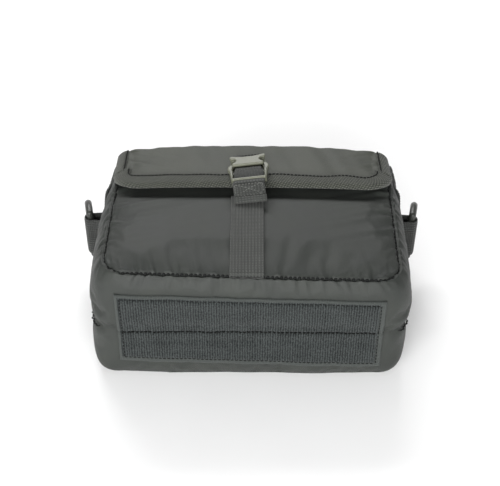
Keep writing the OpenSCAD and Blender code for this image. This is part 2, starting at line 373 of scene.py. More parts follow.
def corner_half_width(full, radius, from_edge):
    """Half of a panel's width at a distance from the edge with its rounded corners."""
    inside = np.clip(radius - from_edge, 0, radius)
    return full - (radius - np.sqrt(radius ** 2 - inside ** 2))


def corner_rows(radius, length, pitch):
    """Distances from a rounded edge, close together where the corner turns fast."""
    turned = radius * (1 - np.cos(np.radians(np.linspace(0, 90, 13))))
    rest = np.linspace(radius, length, int((length - radius) / pitch) + 1)[1:]
    return np.concatenate([turned, rest])


def crowded_across():
    """Places from -1 to 1 across a panel, closer together at its sides."""
    crowding = 1.35
    return np.sin(np.linspace(-1, 1, 121) * crowding) / math.sin(crowding)


def edge_shape(distance, width):
    """From 0 at a seam to 1 inside the panel, as a padded edge rises."""
    near = np.clip(distance / width, 0, 1)
    return np.sqrt(1 - (1 - near) ** 2)


def slumped(sheet):
    """The sheet after the soft bag has leant a little and its front edge has tilted."""
    x, y, z = sheet[..., 0], sheet[..., 1], sheet[..., 2]
    height = np.clip(z / depth, 0, 1.1)
    low = np.clip((25 - y) / 80, 0, 1)
    lean = LEAN * (height - 0.67)
    drawn_in = SIDE_DRAWN_IN * np.clip((y - 5) / 70, 0, 1) * (x < 0) * (x / seam_x) ** 2
    tilt = -FRONT_TILT * (x / seam_x) * low * height ** 2
    return sheet + np.stack([lean + drawn_in, 0 * x, tilt], axis=-1)


panel_up = corner_rows(CORNER_R, mouth_y - seam_y, 2.0)
panel_across = crowded_across()
panel_half = corner_half_width(seam_x, CORNER_R, panel_up)
front = np.zeros((len(panel_up), len(panel_across), 3))
front[..., 0] = panel_half[:, None] * panel_across[None, :]
front[..., 1] = seam_y + panel_up[:, None]
from_side = panel_half[:, None] * (1 - np.abs(panel_across[None, :]))
from_low = panel_up[:, None] * np.ones_like(from_side)
from_seam = np.minimum(from_side, from_low)
crown = CROWN * (1 - (front[..., 0] / seam_x) ** 2) * (1 - (front[..., 1] / mouth_y) ** 2)
flap_free_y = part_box("flap_front_panel")[0].y / MM
under_flap = np.clip((front[..., 1] - flap_free_y + 9) / 13, 0, 1)
crown -= PRESSED_IN * under_flap ** 2 * (3 - 2 * under_flap) * edge_shape(from_side, 14)
seam_rise = 0.7 * edge_shape(from_seam, 2.6) + 0.3 * edge_shape(from_seam, 11)
front[..., 2] = depth - SEAM_DROP * (1 - seam_rise) + crown
low_slant = front[..., 0] + 0.25 * from_low
side_slant = front[..., 1] + 0.3 * from_side * np.sign(front[..., 0] + 1e-6)
upper = np.clip((front[..., 1] + 60) / 60, 0.15, 1)
folds = puckers(low_slant, from_low, height=1.35, pitch=8.5, reach=8, seed=3)
folds += puckers(front[..., 1], from_side, height=0.9, pitch=6, reach=6, seed=6)
folds += upper * puckers(side_slant, from_side, height=1.15, pitch=14, reach=26, seed=5)
front[..., 2] += folds * edge_shape(from_seam, 3)
front_held = from_seam < 0.5
front_held |= from_low > mouth_y - seam_y - 0.5
front = slumped(settled(front, front_held, pressure=1.2, slack=0.012, cap=3.5))
front_piece = pad("front_panel_cloth", front, front - SKIN * outward(front))


def nylon_look(name, pale, dark):
    """Tight plain-weave nylon: a faint grid of threads, soft rubbed patches, a low sheen."""
    look = Look(name, Sheen_Weight=0.02, Sheen_Roughness=0.4, Specular_IOR_Level=0.3)
    place = look.weave_place()
    threads = look.wave(look.across(place), 0.55) * look.wave(look.along(place), 0.55)
    rubbed = look.cloud(place, 34, 3.0, 0.55)
    grain = look.cloud(place, 0.9, 2.0, 0.6)
    tone = rubbed * 0.5 + threads * 0.15 + grain * 0.35
    sharp = look.node("ShaderNodeMapRange", None, {0: tone, 1: 0.3, 2: 0.7, 3: 0.0, 4: 1.0})
    return look.worn(
        look.mix(sharp, dark, pale), grain * 0.2 + rubbed * 0.16 + 0.33,
        threads * 0.5 + grain * 0.5, 0.14)


NYLON_PALE = (0.037, 0.041, 0.035)
NYLON_DARK = (0.019, 0.0215, 0.02)
shell_nylon = nylon_look("shell_nylon", NYLON_PALE, NYLON_DARK)
fitted(front_piece, shell_nylon, "shell_nylon", "bag_body", "front_panel", "foam_front")

# ---- Gusset -----------------------------------------------------------------------------
# One long strip of padded nylon runs down a side, across the bottom and up the other side.
# A seam along its middle draws it in, and it swells out between that seam and the panels.

GUSSET_SEAM_Z = 50.5
GUSSET_SEAM_DEPTH = 3.4
GUSSET_SAG = 3.2
MOUTH_SHARE = 0.5
TAPER_Y = 15


def swell(z):
    """Share of the full bulge at a height: round above the middle, full below it."""
    off = np.abs(2 * z / depth - 1)
    power = np.where(z > depth / 2, 2.4, 7.0)
    return np.sqrt(np.clip(1 - off ** power, 0, 1))


def gusset_run(pitch):
    """Points of the seam round the sides and bottom, with the reach of the bulge there."""
    side = np.linspace(mouth_y, seam_y + CORNER_R, int((mouth_y - seam_y) / pitch))[:-1]
    turn_angles = np.radians(np.linspace(180, 270, 14))
    turn_x = -seam_x + CORNER_R + CORNER_R * np.cos(turn_angles)
    turn_y = seam_y + CORNER_R + CORNER_R * np.sin(turn_angles)
    half = int((seam_x - CORNER_R) / pitch)
    low_x = np.linspace(-seam_x + CORNER_R, 0, half)[1:]
    x = np.concatenate([np.full(len(side), -seam_x), turn_x, low_x])
    y = np.concatenate([side, turn_y, np.full(len(low_x), seam_y)])
    taper = MOUTH_SHARE + (1 - MOUTH_SHARE) * np.clip(
        (mouth_y - y) / (mouth_y - TAPER_Y), 0, 1)
    side_reach = SIDE_BULGE - 3
    reach_x = np.where(
        y > seam_y + CORNER_R, -side_reach * taper,
        -side_reach * np.clip(-x / (seam_x - CORNER_R), 0, 1))
    drop = np.clip((mouth_y - y) / (mouth_y - seam_y - CORNER_R), 0, 1)
    reach_y = -BOTTOM_BULGE * drop
    run = np.stack([x, y], 1)
    reach = np.stack([reach_x, reach_y], 1)
    mirror = np.array([-1, 1])
    return (np.concatenate([run, run[-2::-1] * mirror]),
            np.concatenate([reach, reach[-2::-1] * mirror]))


run, reach = gusset_run(2.0)
z_turn = np.radians(np.concatenate([np.linspace(0, 30, 13), np.linspace(33, 172, 54)]))
gusset_z = depth / 2 + depth / 2 * np.cos(z_turn)
from_middle = gusset_z - GUSSET_SEAM_Z
valley = GUSSET_SEAM_DEPTH * (0.6 * hump(from_middle, 5.5) + 0.4 * hump(from_middle, 1.5))
lift = swell(gusset_z)
reach_size = np.linalg.norm(reach, axis=1)
way = reach / reach_size[:, None]
walk = walked_along(run)
gusset = np.zeros((len(run), len(gusset_z), 3))
walk_grid = walk[:, None] + 0.12 * gusset_z[None, :]
from_top = np.abs(depth - gusset_z - 4)
folds = puckers(walk_grid, from_top, height=1.2, pitch=7.5, reach=6, seed=11)
folds += puckers(walk_grid, np.abs(from_middle), height=1.0, pitch=6.5, reach=5, seed=12)
folds += ripple(walk_grid, 45, 13) * 0.4
sagging = GUSSET_SAG * hump(gusset_z - 7, 16)
on_bottom = np.clip((seam_y + CORNER_R - run[:, 1]) / CORNER_R, 0, 1)
on_corner = on_bottom * np.clip(1 - np.abs(np.abs(way[:, 0]) - 0.75) * 3, 0, 1)
out = lift[None, :] * reach_size[:, None] - valley[None, :]
out += sagging[None, :] * on_bottom[:, None] * (1 + 0.8 * on_corner[:, None])
out += folds * np.clip(lift * 1.2, 0, 1)[None, :]
gusset[..., :2] = run[:, None, :] + out[..., None] * way[:, None, :]
gusset[..., 2] = gusset_z[None, :]
near_seam = np.exp(-(np.maximum(out, 0) + (depth - gusset_z)[None, :]) / 1.5)
gusset[..., 2] -= SEAM_DROP * near_seam
top_folds = puckers(walk_grid, depth - gusset_z, height=1.3, pitch=7.5, reach=2.5, seed=14)
gusset[..., 2] += (top_folds - 0.6 * (lift > 0)) * (1 - near_seam)
gusset_held = np.zeros(gusset.shape[:2], bool)
gusset_held[:, :1] = True
gusset_held[:, -3:] = True
gusset_held[0] = gusset_held[-1] = True
middle_seam = np.argmin(np.abs(from_middle))
gusset_held[:, middle_seam] = True
gusset = slumped(settled(gusset, gusset_held, pressure=1.0, slack=0.014, cap=2.2))
gusset[..., 2] = np.maximum(gusset[..., 2], 0.4)
inward_gusset = gusset.copy()
inward_gusset[..., :2] -= SKIN * way[:, None, :]
inward_gusset[..., 2] -= SKIN * near_seam
gusset_piece = pad("gusset_cloth", gusset, inward_gusset)
fitted(
    gusset_piece, shell_nylon, "shell_nylon", "bag_body", "gusset_bottom", "gusset_left",
    "gusset_right", "foam_bottom", "foam_left", "foam_right", "bottom_board")


def stitches(name, path, normals, pitch=3.4, length=2.3, radius=0.3):
    """Separate sewn stitches along a path, each a short bent thread that dips at its ends."""
    walked = walked_along(path)
    starts = np.arange(0.4, walked[-1] - length, pitch)
    points, faces = [], []
    sides = 6
    for start in starts:
        places = start + length * np.array([0, 0.25, 0.5, 0.75, 1])
        centre = np.stack([np.interp(places, walked, path[:, k]) for k in range(3)], 1)
        up = unit(np.stack([np.interp(places, walked, normals[:, k]) for k in range(3)], 1))
        forward = unit(centre[-1] - centre[0])
        sideways = np.cross(forward, up)
        rise = np.array([-0.5, 0.35, 0.6, 0.35, -0.5]) * radius
        base = len(points)
        for k in range(len(places)):
            for turned in 2 * np.pi * np.arange(sides) / sides:
                points.append(
                    centre[k] + up[k] * (rise[k] + radius * np.sin(turned))
                    + sideways[k] * radius * np.cos(turned))
        for k in range(len(places) - 1):
            for c in range(sides):
                a, b = base + k * sides + c, base + k * sides + (c + 1) % sides
                faces.append((a, b, b + sides, a + sides))
        faces.append(tuple(base + c for c in range(sides))[::-1])
        faces.append(tuple(base + (len(places) - 1) * sides + c for c in range(sides)))
    layout = np.array(points)[:, :2]
    return piece_of(name, points, faces, layout)


thread_look = Look("thread", Sheen_Weight=0.03, Specular_IOR_Level=0.15)
thread_twist = thread_look.cloud(thread_look.weave_place(), 0.6)
sewing_thread = thread_look.worn(
    thread_look.mix(thread_twist, (0.0025, 0.003, 0.003), (0.008, 0.009, 0.008)),
    thread_twist * 0.1 + 0.6, thread_twist, 0.1)

# Thick dark stitches along the front seam. They are partly the seam's stitches and partly painted
# shade for the dark line of the seam's groove.
seam_row = gusset[:, 0, :].copy()
seam_row[:, 2] += 0.5 + 0.8 * on_bottom
straight_up = np.tile([0.0, 0.0, 1.0], (len(seam_row), 1))
seam_sewn = stitches("front_seam_stitches_and_painted_shade", seam_row, straight_up, length=2.6, radius=0.8)
fitted(seam_sewn, sewing_thread, "binding_tape", "bag_body")

loop_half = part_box("loop_panel")[1].x / MM
for side, sign in (("left", -1), ("right", 1)):
    beside = sign * run[:, 0] > loop_half + 1
    seam_row = gusset[beside, middle_seam].copy()
    seam_row[:, :2] += 2.8 * way[beside]
    out_ways = np.column_stack([way[beside], np.zeros(beside.sum())])
    sewn = stitches(
        "gusset_seam_stitches_" + side, seam_row, out_ways, length=2.7, radius=0.7)
    fitted(sewn, sewing_thread, "binding_tape", "bag_body")

# ---- Back panel -------------------------------------------------------------------------
# The back is the same nylon over foam. It lies flat on the table, and only its edge
# rises into the seam with the gusset.

back = front.copy()
back[..., 2] = 0.2 + 2.6 * (1 - edge_shape(from_seam, 8))
back_piece = pad("back_panel_cloth", back[:, ::-1], (back + [0, 0, SKIN])[:, ::-1])
fitted(back_piece, shell_nylon, "shell_nylon", "bag_body", "back_panel", "foam_back")

# ---- Mouth and lining -------------------------------------------------------------------
# The walls end in a rolled binding round the mouth. Inside, brushed loop cloth covers
# every wall, so that the dividers' hook tapes hold anywhere.


def swept(name, loops, layout_start=0.0, closed=False):
    """A closed piece through loops of points, one loop at each place along its path."""
    loops = np.asarray(loops, float)
    count, size = loops.shape[:2]
    faces = []
    for s in range(count if closed else count - 1):
        for c in range(size):
            a, b = s * size + c, s * size + (c + 1) % size
            d = (s + 1) % count * size
            faces.append((a, b, d + (c + 1) % size, d + c))
    if not closed:
        faces.append(tuple(range(size))[::-1])
        faces.append(tuple((count - 1) * size + c for c in range(size)))
    around = walked_along(loops[0])
    along = walked_along(loops.mean(axis=1))
    layout = np.stack(np.meshgrid(around, along + layout_start), axis=-1)
    return piece_of(name, loops.reshape(-1, 3), faces, layout.reshape(-1, 2))


def binding_look(name, pale, dark):
    """Ribbed binding tape: short slanted ribs with painted light on their crests and painted shade
    in their grooves, random worn patches and fuzz.
    """
    look = Look(name, Sheen_Weight=0.15, Specular_IOR_Level=0.3)
    place = look.weave_place()
    across = look.across(place)
    along = look.along(place)
    ribs = look.wave(along + across * 0.5, 2.3) * look.wave(across - along * 0.35, 2.1)
    worn = look.cloud(place, 9, 3.0)
    fuzz = look.cloud(place, 1.1, 3.0, 0.7)
    # Painted light and shade: the ribs' wave makes the crests lighter and the grooves between them
    # darker.
    tone = ribs * 0.55 + worn * 0.15 + fuzz * 0.3
    sharp = look.node("ShaderNodeMapRange", None, {0: tone, 1: 0.16, 2: 0.62, 3: 0.0, 4: 1.0})
    return look.worn(
        look.mix(sharp, dark, pale), fuzz * 0.15 + 0.68, ribs * 0.6 + fuzz * 0.4, 1.1)


binding_tape = binding_look("binding_tape", (0.108, 0.115, 0.091), (0.009, 0.01, 0.0085))

inner_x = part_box("lining_front")[1].x / MM
inner_z0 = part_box("lining_back")[0].z / MM
inner_z1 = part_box("lining_front")[1].z / MM
inner_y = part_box("lining_bottom")[0].y / MM


def rounded_loop(half_x, z0, z1, radius, steps=8):
    """A rounded rectangle across the bag's width and depth, as x and z."""
    corners = (
        (half_x - radius, z1 - radius, 0), (-half_x + radius, z1 - radius, 90),
        (-half_x + radius, z0 + radius, 180), (half_x - radius, z0 + radius, 270))
    points = []
    for x, z, first in corners:
        for turned in np.radians(np.linspace(first, first + 90, steps)):
            points.append((x + radius * np.cos(turned), z + radius * np.sin(turned)))
    return np.array(points)


rim_outer = rounded_loop(seam_x + 4.5, 1.2, depth - 1.2, 16)
rim_inner = rounded_loop(inner_x - 1, inner_z0 + 1, inner_z1 - 1, 8)
rim_middle = (rim_outer + rim_inner) / 2
rim_arch = (rim_outer - rim_inner) / 2
rim_loops = []
for middle, arch in zip(rim_middle, rim_arch):
    loop = []
    for turned in np.radians(np.linspace(0, 180, 9)):
        x, z = middle + arch * np.cos(turned)
        loop.append((x, mouth_y - 0.6 + 1.5 * np.sin(turned), z))
    for share in (-0.85, 0.85):
        x, z = middle + arch * share
        loop.append((x, mouth_y - 3.5, z))
    rim_loops.append(loop)
rim_piece = swept("mouth_rim", rim_loops, closed=True)
fitted(rim_piece, binding_tape, "binding_tape", "bag_body", "mouth_binding")

lining_look = Look("lining_fabric", Sheen_Weight=0.5, Sheen_Roughness=0.6)
lining_place = lining_look.weave_place()
lining_pile = lining_look.cloud(lining_place, 1.1, 3.0, 0.65)
lining_brushed = lining_look.cloud(lining_place, 22, 2.0)
lining_cloth = lining_look.worn(
    lining_look.mix(
        lining_pile * 0.6 + lining_brushed * 0.4, (0.028, 0.03, 0.03), (0.075, 0.08, 0.08)),
    lining_pile * 0.1 + 0.85, lining_pile, 0.6)

LINING_R = 7
LINING_GAP = 1.5
lining_rows = []
wall_rows = np.linspace(mouth_y - 1.5, inner_y + 1.5, 34)
for y in wall_rows:
    puff = 1.2 * np.sin(np.pi * (y - inner_y) / (mouth_y - inner_y))
    gap = LINING_GAP + puff
    loop = rounded_loop(inner_x - gap, inner_z0 + gap, inner_z1 - gap, LINING_R)
    lining_rows.append([(x, y, z) for x, z in loop])
middle_z = (inner_z0 + inner_z1) / 2
loop = rounded_loop(
    inner_x - LINING_GAP, inner_z0 + LINING_GAP, inner_z1 - LINING_GAP, LINING_R)
for share in np.linspace(0.97, 0.02, 14):
    lining_rows.append([
        (x * share, inner_y + 1.5, middle_z + (z - middle_z) * share) for x, z in loop])
lining_in = np.array(lining_rows)
lining_in = np.concatenate([lining_in, lining_in[:, :1]], axis=1)
lining_out = lining_in.copy()
lining_out[:, :, 1] -= 1.2
wall = slice(0, len(wall_rows))
lining_out[wall] = lining_in[wall] * [1.009, 1, 1]
lining_out[wall, :, 2] += np.where(lining_in[wall, :, 2] > depth / 2, 1.0, -1.0)
lining_piece = pad("lining_cloth", lining_in, lining_out)
fitted(
    lining_piece, lining_cloth, "lining_fabric", "bag_body", "lining_front",
    "lining_back", "lining_bottom", "lining_left", "lining_right")

# ---- Dividers ---------------------------------------------------------------------------
# Two foam slabs in the same brushed cloth stand across the bag. Hook tapes on their ends
# hold them to the lining.

hook_look = Look("hook_tape", Specular_IOR_Level=0.35)
hook_spot = hook_look.node("ShaderNodeTexCoord", None, None, 3)
hook_x = hook_look.across(hook_spot)
hook_y = hook_look.along(hook_spot)
hooks = hook_look.wave(hook_x, 0.0014) * hook_look.wave(hook_y, 0.0014)
hook_tape = hook_look.worn(
    hook_look.mix(hooks, (0.018, 0.018, 0.018), (0.06, 0.062, 0.06)),
    hooks * 0.2 + 0.5, hooks, 0.5)


def box_mm(node):
    """The low and high corner of a node's box, in millimetres."""
    return [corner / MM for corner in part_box(node)]


for side in ("left", "right"):
    lo, hi = box_mm("divider_" + side)
    slab_y = np.linspace(0, 1, 40)
    slab_z = np.linspace(0, 1, 30)
    y_share, z_share = np.meshgrid(slab_y, slab_z, indexing="ij")
    rim_y = np.minimum(y_share, 1 - y_share) * (hi.y - lo.y)
    rim_z = np.minimum(z_share, 1 - z_share) * (hi.z - lo.z)
    fat = edge_shape(np.minimum(rim_y, rim_z), 5) * (hi.x - lo.x) / 2
    middle_x = (lo.x + hi.x) / 2
    soft = 0.25 * ripple(y_share * 120 + z_share * 40, 34, 21)
    faces_of_slab = [
        np.stack([
            middle_x + way_x * (0.35 + 0.93 * fat) + soft,
            lo.y + y_share * (hi.y - lo.y),
            lo.z + z_share * (hi.z - lo.z)], axis=-1)
        for way_x in (1, -1)]
    slab = pad("divider_pad_" + side, faces_of_slab[0], faces_of_slab[1])
    fitted(
        slab, lining_cloth, "lining_fabric", "divider_" + side + "_pad", "divider_" + side)
    put(frame["nodes"]["divider_" + side + "_tapes"], hook_tape)

# ---- Loop panel on the bottom -----------------------------------------------------------
# The loop half of a hook-and-loop fastener is sewn over the bottom with one row of
# stitches round its edge and one along its middle, on the gusset's own seam.

loop_lo, loop_hi = box_mm("loop_panel")
LOOP_EDGE = 3.8
LOOP_LIFT = 3.5
LOOP_TILT = 3.1
LOOP_T = 1.7
loop_x = np.linspace(loop_lo.x, loop_hi.x, 260)
loop_z = np.linspace(loop_hi.z, loop_lo.z, 92)
gusset_up = np.argsort(gusset_z)
bottom_strip = gusset[np.abs(run[:, 1] - seam_y) < 0.01][:, gusset_up]
bottom_strip = bottom_strip[np.argsort(bottom_strip[:, len(gusset_z) // 2, 0])]


def bottom_y(x, z):
    """The gusset's outer face under the bottom, at places across and up."""
    across = bottom_strip[:, len(gusset_z) // 2, 0]
    place = np.interp(x, across, np.arange(len(across)))
    near = np.floor(place).astype(int)
    far = np.minimum(near + 1, len(across) - 1)
    share = place - near
    found = np.zeros(x.shape)
    for spot in np.ndindex(x.shape):
        strip_near = bottom_strip[near[spot]]
        strip_far = bottom_strip[far[spot]]
        y_near = np.interp(z[spot], strip_near[:, 2], strip_near[:, 1])
        y_far = np.interp(z[spot], strip_far[:, 2], strip_far[:, 1])
        found[spot] = y_near * (1 - share[spot]) + y_far * share[spot]
    return found


def loop_height(x, z):
    """The panel's height above the table, moved up and tilted as it is sewn on."""
    tilt = -LOOP_TILT * (x / seam_x) * np.clip(np.abs(z + LOOP_LIFT - GUSSET_SEAM_Z) / 25, 0, 1)
    return z + LOOP_LIFT + tilt


loop_grid_x, loop_flat_z = np.meshgrid(loop_x, loop_z)
loop_grid_z = loop_height(loop_grid_x, loop_flat_z)
loop_rim = np.minimum(
    np.minimum(loop_grid_x - loop_lo.x, loop_hi.x - loop_grid_x),
    np.minimum(loop_flat_z - loop_lo.z, loop_hi.z - loop_flat_z))
stitched = hump(loop_rim - LOOP_EDGE, 0.8)
seam_line = hump(loop_grid_z - GUSSET_SEAM_Z, 1.3)
pull = 0.5 + 0.5 * np.sin(2 * np.pi * (loop_grid_x + loop_flat_z) / 3.4)
loop_rise = LOOP_T - stitched * (0.45 + 0.35 * pull) - seam_line * (1.0 + 0.7 * pull)
knit_height = 0.03 * np.cos(2 * np.pi * loop_grid_x / 2.4 + 1.2 * ripple(loop_flat_z, 19, 32))
inside_edge = np.clip((loop_rim - LOOP_EDGE) / 1.5, 0, 1)
loop_rise += knit_height * inside_edge
loop_rise += 0.5 * hump(loop_rim - LOOP_EDGE - 3.5, 3.0) - 0.5 * hump(loop_rim, 0.7)
edge_wave = 0.2 * ripple(loop_grid_x, 42, 31) * (1 - inside_edge)
gusset_under = bottom_y(loop_grid_x, loop_grid_z)
bridged = bottom_y(loop_grid_x, loop_grid_z + 11) + bottom_y(loop_grid_x, loop_grid_z - 11)
gusset_under = np.minimum(gusset_under, 0.25 * gusset_under + 0.375 * bridged)
loop_face = np.stack([loop_grid_x, gusset_under - loop_rise, loop_grid_z + edge_wave], axis=-1)
loop_back = np.stack([loop_grid_x, gusset_under + 0.8, loop_grid_z + edge_wave], axis=-1)
loop_piece = pad("loop_panel_cloth", loop_face, loop_back)

loop_look = Look("loop_fastener", Sheen_Weight=0.05, Specular_IOR_Level=0.2)
loop_place = loop_look.weave_place()
loop_across = loop_look.across(loop_place)
loop_along = loop_look.along(loop_place)
drift = loop_look.cloud(loop_place, 4.0)
knit = loop_look.wave(loop_across + drift * 1.6, 2.0)
loop_fuzz = loop_look.cloud(loop_place, 0.85, 4.0, 0.75)
loop_hook = loop_look.cloud(loop_place, 1.9, 3.0, 0.6)
loop_patch = loop_look.cloud(loop_place, 14, 2.0)
loop_tone = knit * 0.15 + loop_fuzz * 0.4 + loop_hook * 0.35 + loop_patch * 0.1
loop_sharp = loop_look.node(
    "ShaderNodeMapRange", None, {0: loop_tone, 1: 0.4, 2: 0.62, 3: 0.0, 4: 1.0})
loop_width = loop_hi.x - loop_lo.x
loop_tall = loop_hi.z - loop_lo.z
to_side = loop_look.node(
    "ShaderNodeMath", {"operation": "MINIMUM"}, {0: loop_across, 1: loop_width - loop_across})
to_end = loop_look.node(
    "ShaderNodeMath", {"operation": "MINIMUM"}, {0: loop_along, 1: loop_tall - loop_along})
to_edge = loop_look.node("ShaderNodeMath", {"operation": "MINIMUM"}, {0: to_side, 1: to_end})
selvedge = loop_look.node(
    "ShaderNodeMapRange", None, {0: to_edge, 1: 1.6, 2: 2.9, 3: 1.0, 4: 0.0})
knitted = loop_look.mix(loop_sharp, (0.004, 0.0055, 0.0055), (0.053, 0.0605, 0.0595))
woven_edge = loop_look.mix(loop_fuzz, (0.03, 0.034, 0.032), (0.075, 0.083, 0.078))
loop_fastener = loop_look.worn(
    loop_look.mix(selvedge, knitted, woven_edge),
    loop_fuzz * 0.1 + 0.84, knit * 0.06 + loop_fuzz * 0.44 + loop_hook * 0.5, 2.2)
fitted(loop_piece, loop_fastener, "loop_fastener", "bag_body", "loop_panel")


def loop_stitch_path(x, flat_z, proud=0.2):
    z = loop_height(x, flat_z)
    spots = [np.argmin(np.hypot(loop_grid_x - a, loop_grid_z - b)) for a, b in zip(x, z)]
    return np.stack([x, loop_face[..., 1].ravel()[spots] - proud, z], axis=1)


SEAM_PROUD = 0.8
edge_x = np.linspace(loop_lo.x + LOOP_EDGE, loop_hi.x - LOOP_EDGE, 120)
edge_z = np.linspace(loop_lo.z + LOOP_EDGE, loop_hi.z - LOOP_EDGE, 40)
loop_rows = {
    "top": loop_stitch_path(edge_x, np.full(120, edge_z[-1])),
    "low": loop_stitch_path(edge_x, np.full(120, edge_z[0])),
    "middle": loop_stitch_path(edge_x, np.full(120, GUSSET_SEAM_Z - LOOP_LIFT), SEAM_PROUD),
    "left": loop_stitch_path(np.full(40, edge_x[0]), edge_z),
    "right": loop_stitch_path(np.full(40, edge_x[-1]), edge_z),
}
for place, path in loop_rows.items():
    facing = np.tile([0.0, -1.0, 0.0], (len(path), 1))
    thread_r = 0.65 if place == "middle" else 0.38
    sewn = stitches("loop_stitches_" + place, path, facing, radius=thread_r)
    fitted(sewn, sewing_thread, "binding_tape", "bag_body")

# ---- Side patches and ring tabs ---------------------------------------------------------
# Ribbed webbing strengthens the top of each side. Below it a 38 mm webbing tab comes out
# of the side, goes round the bar of a ring and is sewn down again.


def webbing_look(name, pale, dark, rib=2.5, pick=1.6):
    """Flat woven webbing: ribs along its length, crossed by the picks of the weave."""
    look = Look(name, Sheen_Weight=0.15, Sheen_Roughness=0.5, Specular_IOR_Level=0.35)
    place = look.weave_place()
    ribs = look.wave(look.across(place), rib)
    picks = look.wave(look.along(place), pick)
    fuzz = look.cloud(place, 0.5, 2.0)
    worn = look.cloud(place, 11, 2.0)
    boxes = ribs * picks
    # Painted light and shade: the weave's boxes colour the raised cells lighter and the grooves
    # between ribs and picks darker.
    tone = boxes * 0.55 + worn * 0.25 + fuzz * 0.2
    return look.worn(
        look.mix(tone, dark, pale), fuzz * 0.15 + 0.62,
        boxes * 0.75 + fuzz * 0.25, 0.5)


def strip(name, path, sideways, width, thickness, ribs=0, start=0.0):
    """A flat strip of webbing along a path, with round edges and ribs on its faces."""
    path = np.asarray(path, float)
    sideways = np.broadcast_to(np.asarray(sideways, float), path.shape)
    up = unit(np.cross(sideways, unit(np.gradient(path, axis=0))))
    count = max(9, 5 * ribs)
    shares = np.linspace(-1, 1, count)
    face = np.full(count, thickness / 2)
    face = face + 0.14 * np.cos(ribs * np.pi * shares) * (ribs > 0)
    face *= np.sqrt(np.clip(1 - (np.abs(shares) * 0.985) ** 16, 0, 1))
    profile = [(s * width / 2, h) for s, h in zip(shares, face)]
    profile += [(s * width / 2, -h) for s, h in zip(shares[::-1], face[::-1])]
    loops = [
        [p + sideways[i] * s + up[i] * h for s, h in profile] for i, p in enumerate(path)]
    return swept(name, loops, start)


webbing = webbing_look("webbing", (0.08, 0.085, 0.077), (0.012, 0.013, 0.012))
tab_webbing = webbing_look("tab_webbing", (0.05, 0.053, 0.049), (0.01, 0.011, 0.01))


def side_at(y, z, sign):
    """Distance of the gusset's outer face from the middle, at one place on a side."""
    on_side = (np.sign(run[:, 0]) == sign) & (run[:, 1] > seam_y + CORNER_R)
    strips = gusset[on_side][:, gusset_up]
    order = np.argsort(run[on_side, 1])
    by_z = np.array([np.interp(z, row[:, 2], sign * row[:, 0]) for row in strips[order]])
    return float(np.interp(y, run[on_side, 1][order], by_z))


PATCH_OUT = 1.5
RIB_PITCH = 2.6
WRAP_R = 4.2
TAB_T = 1.7
BAR_Y = 30.0
for side, sign in (("left", -1), ("right", 1)):
    patch_lo, patch_hi = box_mm("side_patch_" + side)
    patch_y = np.linspace(patch_lo.y - 1, patch_hi.y - 1.5, 30)
    patch_z = np.linspace(patch_hi.z + 3, patch_lo.z, 60)
    patch_x = np.array([[side_at(y, z, sign) for z in patch_z] for y in patch_y])
    flare = 1.2 * np.exp(-(patch_y - patch_y[0]) / 5)[:, None]
    ribbing = 0.22 * np.cos(2 * np.pi * patch_z / RIB_PITCH)[None, :]
    outer = np.stack([
        sign * (patch_x + PATCH_OUT + flare + ribbing),
        patch_y[:, None] + 0 * patch_x,
        patch_z[None, :] + 0 * patch_x], axis=-1)
    inner = outer.copy()
    inner[..., 0] = sign * (patch_x + flare - 0.2)
    if sign > 0:
        outer, inner = outer[:, ::-1], inner[:, ::-1]
    patch = pad("side_patch_cloth_" + side, outer, inner)
    fitted(patch, webbing, "webbing", "bag_body", "side_patch_" + side)

    ring_lo, ring_hi = box_mm("ring_tab_" + side)
    tab_z = (ring_lo.z + ring_hi.z) / 2
    tab_width = ring_hi.z - ring_lo.z
    bar_x = max(abs(ring_lo.x), abs(ring_hi.x)) - WRAP_R - 0.9
    bar_turn = np.radians(np.linspace(-100, 100, 17))
    wrap = [(bar_x + WRAP_R * np.cos(a), BAR_Y + WRAP_R * np.sin(a)) for a in bar_turn]
    down = [(side_at(y, tab_z, sign) + 1.1, y) for y in np.linspace(4, 22, 10)]
    rise = [(side_at(24.5, tab_z, sign) + 1.8, 24.3), (bar_x - 5, 25.4)]
    away = [(bar_x - 5, 34.6), (side_at(36, tab_z, sign) + 1.6, 35.4)]
    away += [(side_at(y, tab_z, sign) + 1.0, y) for y in (37.5, 38.8)]
    tab_path = [(sign * x, y, tab_z) for x, y in down + rise + wrap + away]
    tab = strip(
        "ring_tab_web_" + side, tab_path, (0, 0, sign), tab_width, TAB_T, ribs=14)
    fitted(tab, tab_webbing, "webbing", "bag_body", "ring_tab_" + side)

# ---- Rings ------------------------------------------------------------------------------
# The D-rings are moulded in dark acetal, with the fine speckle of a rough mould and a
# polish where hooks have rubbed them.

ring_look = Look("ring_plastic", Specular_IOR_Level=0.5)
ring_spot = ring_look.node("ShaderNodeTexCoord", None, None, 3)
ring_speck = ring_look.cloud(ring_spot, 0.0006, 3.0)
ring_rub = ring_look.cloud(ring_spot, 0.009, 2.0)
ring_plastic = ring_look.worn(
    ring_look.mix(ring_rub, (0.016, 0.0175, 0.015), (0.035, 0.038, 0.033)),
    ring_rub * 0.18 + 0.3, ring_speck, 0.12)
for side in ("left", "right"):
    put(frame["nodes"]["ring_" + side], ring_plastic)

# ---- Flap -------------------------------------------------------------------------------
# The flap is a padded panel that is sewn to the top of the back, closes the mouth, bends
# over the front edge and reaches down over the front panel. Its free corners are round.

top_lo, top_hi = box_mm("flap_top_panel")
flap_lo, flap_hi = box_mm("flap_front_panel")
flap_x = top_hi.x
FLAP_T = 5
FLAP_CORNER = 24
FLAP_BEND = 7
FLAP_DROOP = 6.5
FLAP_SHORT = 6.5
FLAP_LIFT = 1.6
SIDE_TAPE = 8.6
FRONT_TAPE = 12.0
hinge_low_z = top_lo.z + 0.5
free_y = flap_lo.y + FLAP_SHORT
free_z = flap_hi.z + FLAP_LIFT
fold_y = top_hi.y - FLAP_BEND
fold_z = depth + 0.8


